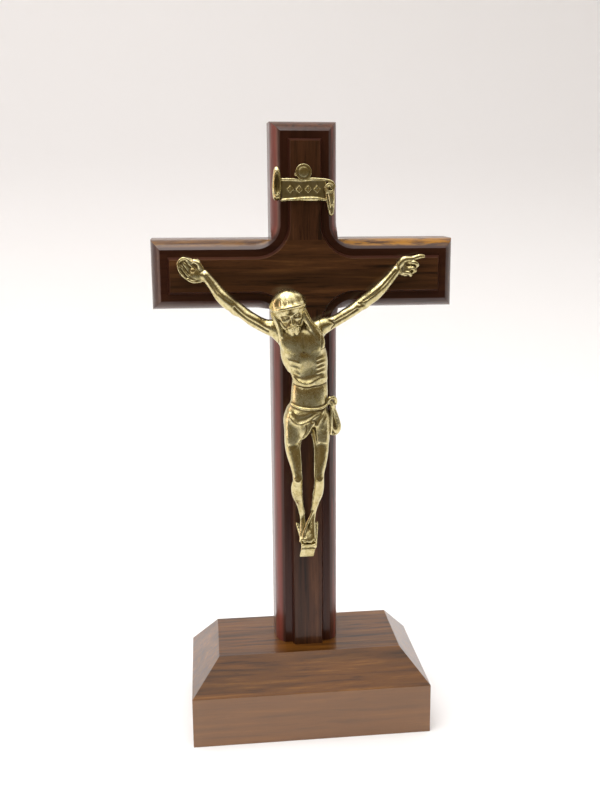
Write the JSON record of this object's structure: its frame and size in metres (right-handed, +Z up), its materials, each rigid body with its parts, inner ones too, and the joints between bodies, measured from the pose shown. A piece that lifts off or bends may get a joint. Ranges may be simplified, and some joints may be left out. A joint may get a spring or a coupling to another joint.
{
  "type": "altar cross",
  "caption": "Free-standing wooden altar cross with a stepped, routed front edge on a bevelled rectangular base, carrying a cast figure, a sloping foot rest and a curled title scroll.",
  "frame": {"origin": "bottom centre of the base, on the surface that the cross stands on", "axes": "+Z up, the front with the figure faces -Y, +X to the viewer's right along the crossbeam"},
  "size_m": [0.121, 0.06, 0.25],
  "materials": {
    "cross_wood": "dark brown hardwood under thick gloss lacquer",
    "base_wood": "mid brown hardwood under gloss lacquer, grain along the length",
    "brass": "polished cast brass, darker in the recesses",
    "steel": "zinc plated"
  },
  "bodies": {
    "root": {"base_block": "base_wood", "upright_beam": "cross_wood", "cross_beam": "cross_wood", "base_screw": "steel", "corpus_body": "brass", "corpus_left_arm": "brass", "corpus_right_arm": "brass", "body_dowel": "steel", "foot_rest": "brass", "foot_rest_pins": "brass", "left_hand_nail": "brass", "right_hand_nail": "brass", "title_scroll": "brass", "title_tack": "brass"}
  },
  "joints": []
}
